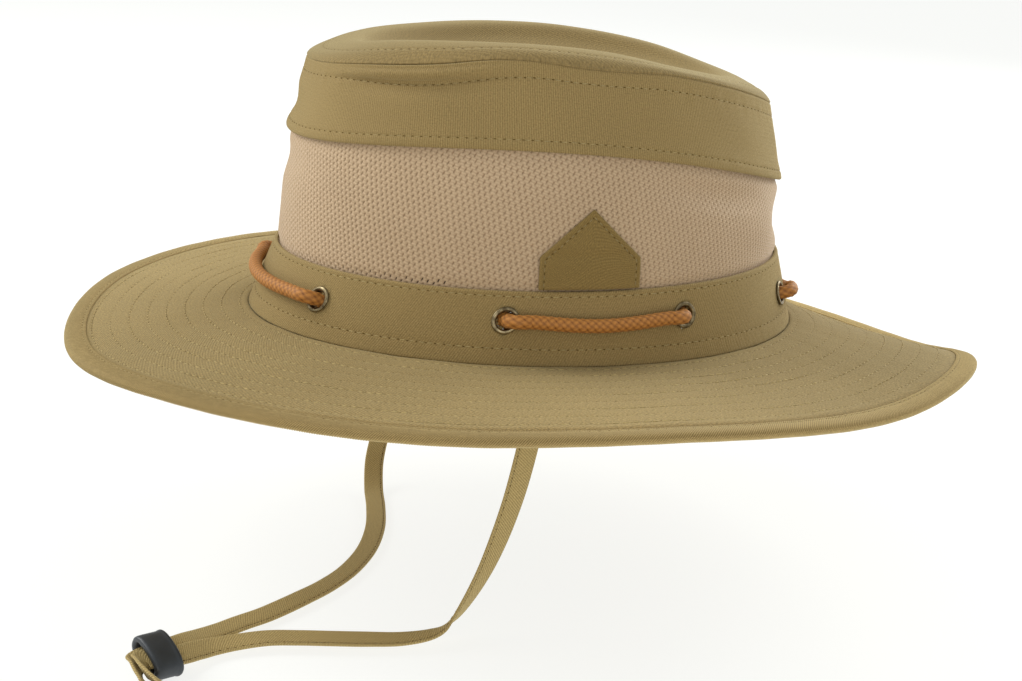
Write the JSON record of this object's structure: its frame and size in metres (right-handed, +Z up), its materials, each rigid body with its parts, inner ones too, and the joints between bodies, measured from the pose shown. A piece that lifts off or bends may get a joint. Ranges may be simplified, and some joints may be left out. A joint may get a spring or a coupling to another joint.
{
  "type": "outback hat with mesh crown and chin strap",
  "caption": "Wide-brimmed cotton outback hat, worn form: mesh crown, eyelet band laced with a braided cord, stitched brim with bound edge, chin strap with slider.",
  "frame": {"origin": "centre of the head opening, level with the seam between crown and brim", "axes": "+Z up through the crown, -Y towards the front of the hat, +X towards the wearer's left"},
  "size_m": [0.3123, 0.3445, 0.2011],
  "materials": {
    "twill": "khaki cotton twill, matt, with fine slanted ribs",
    "mesh": "tan knitted mesh with slanted slits, matt",
    "cord": "orange-tan braided cord with a soft sheen",
    "eyelet_brass": "antique brass, darkened in the hollows",
    "strap_tape": "khaki twill tape, matt, with slanted ribs",
    "slider_plastic": "dark slate moulded plastic, satin"
  },
  "bodies": {
    "root": {"brim": "twill", "brim_binding": "twill", "hat_band": "twill", "mesh_panel": "mesh", "crown_band": "twill", "crown_tip": "twill", "side_tab_left": "twill", "side_tab_right": "twill", "eyelet_1": "eyelet_brass", "eyelet_2": "eyelet_brass", "eyelet_3": "eyelet_brass", "eyelet_4": "eyelet_brass", "eyelet_5": "eyelet_brass", "eyelet_6": "eyelet_brass", "eyelet_7": "eyelet_brass", "eyelet_8": "eyelet_brass", "band_cord": "cord", "chin_strap": "strap_tape", "chin_slider": "slider_plastic"}
  },
  "joints": []
}
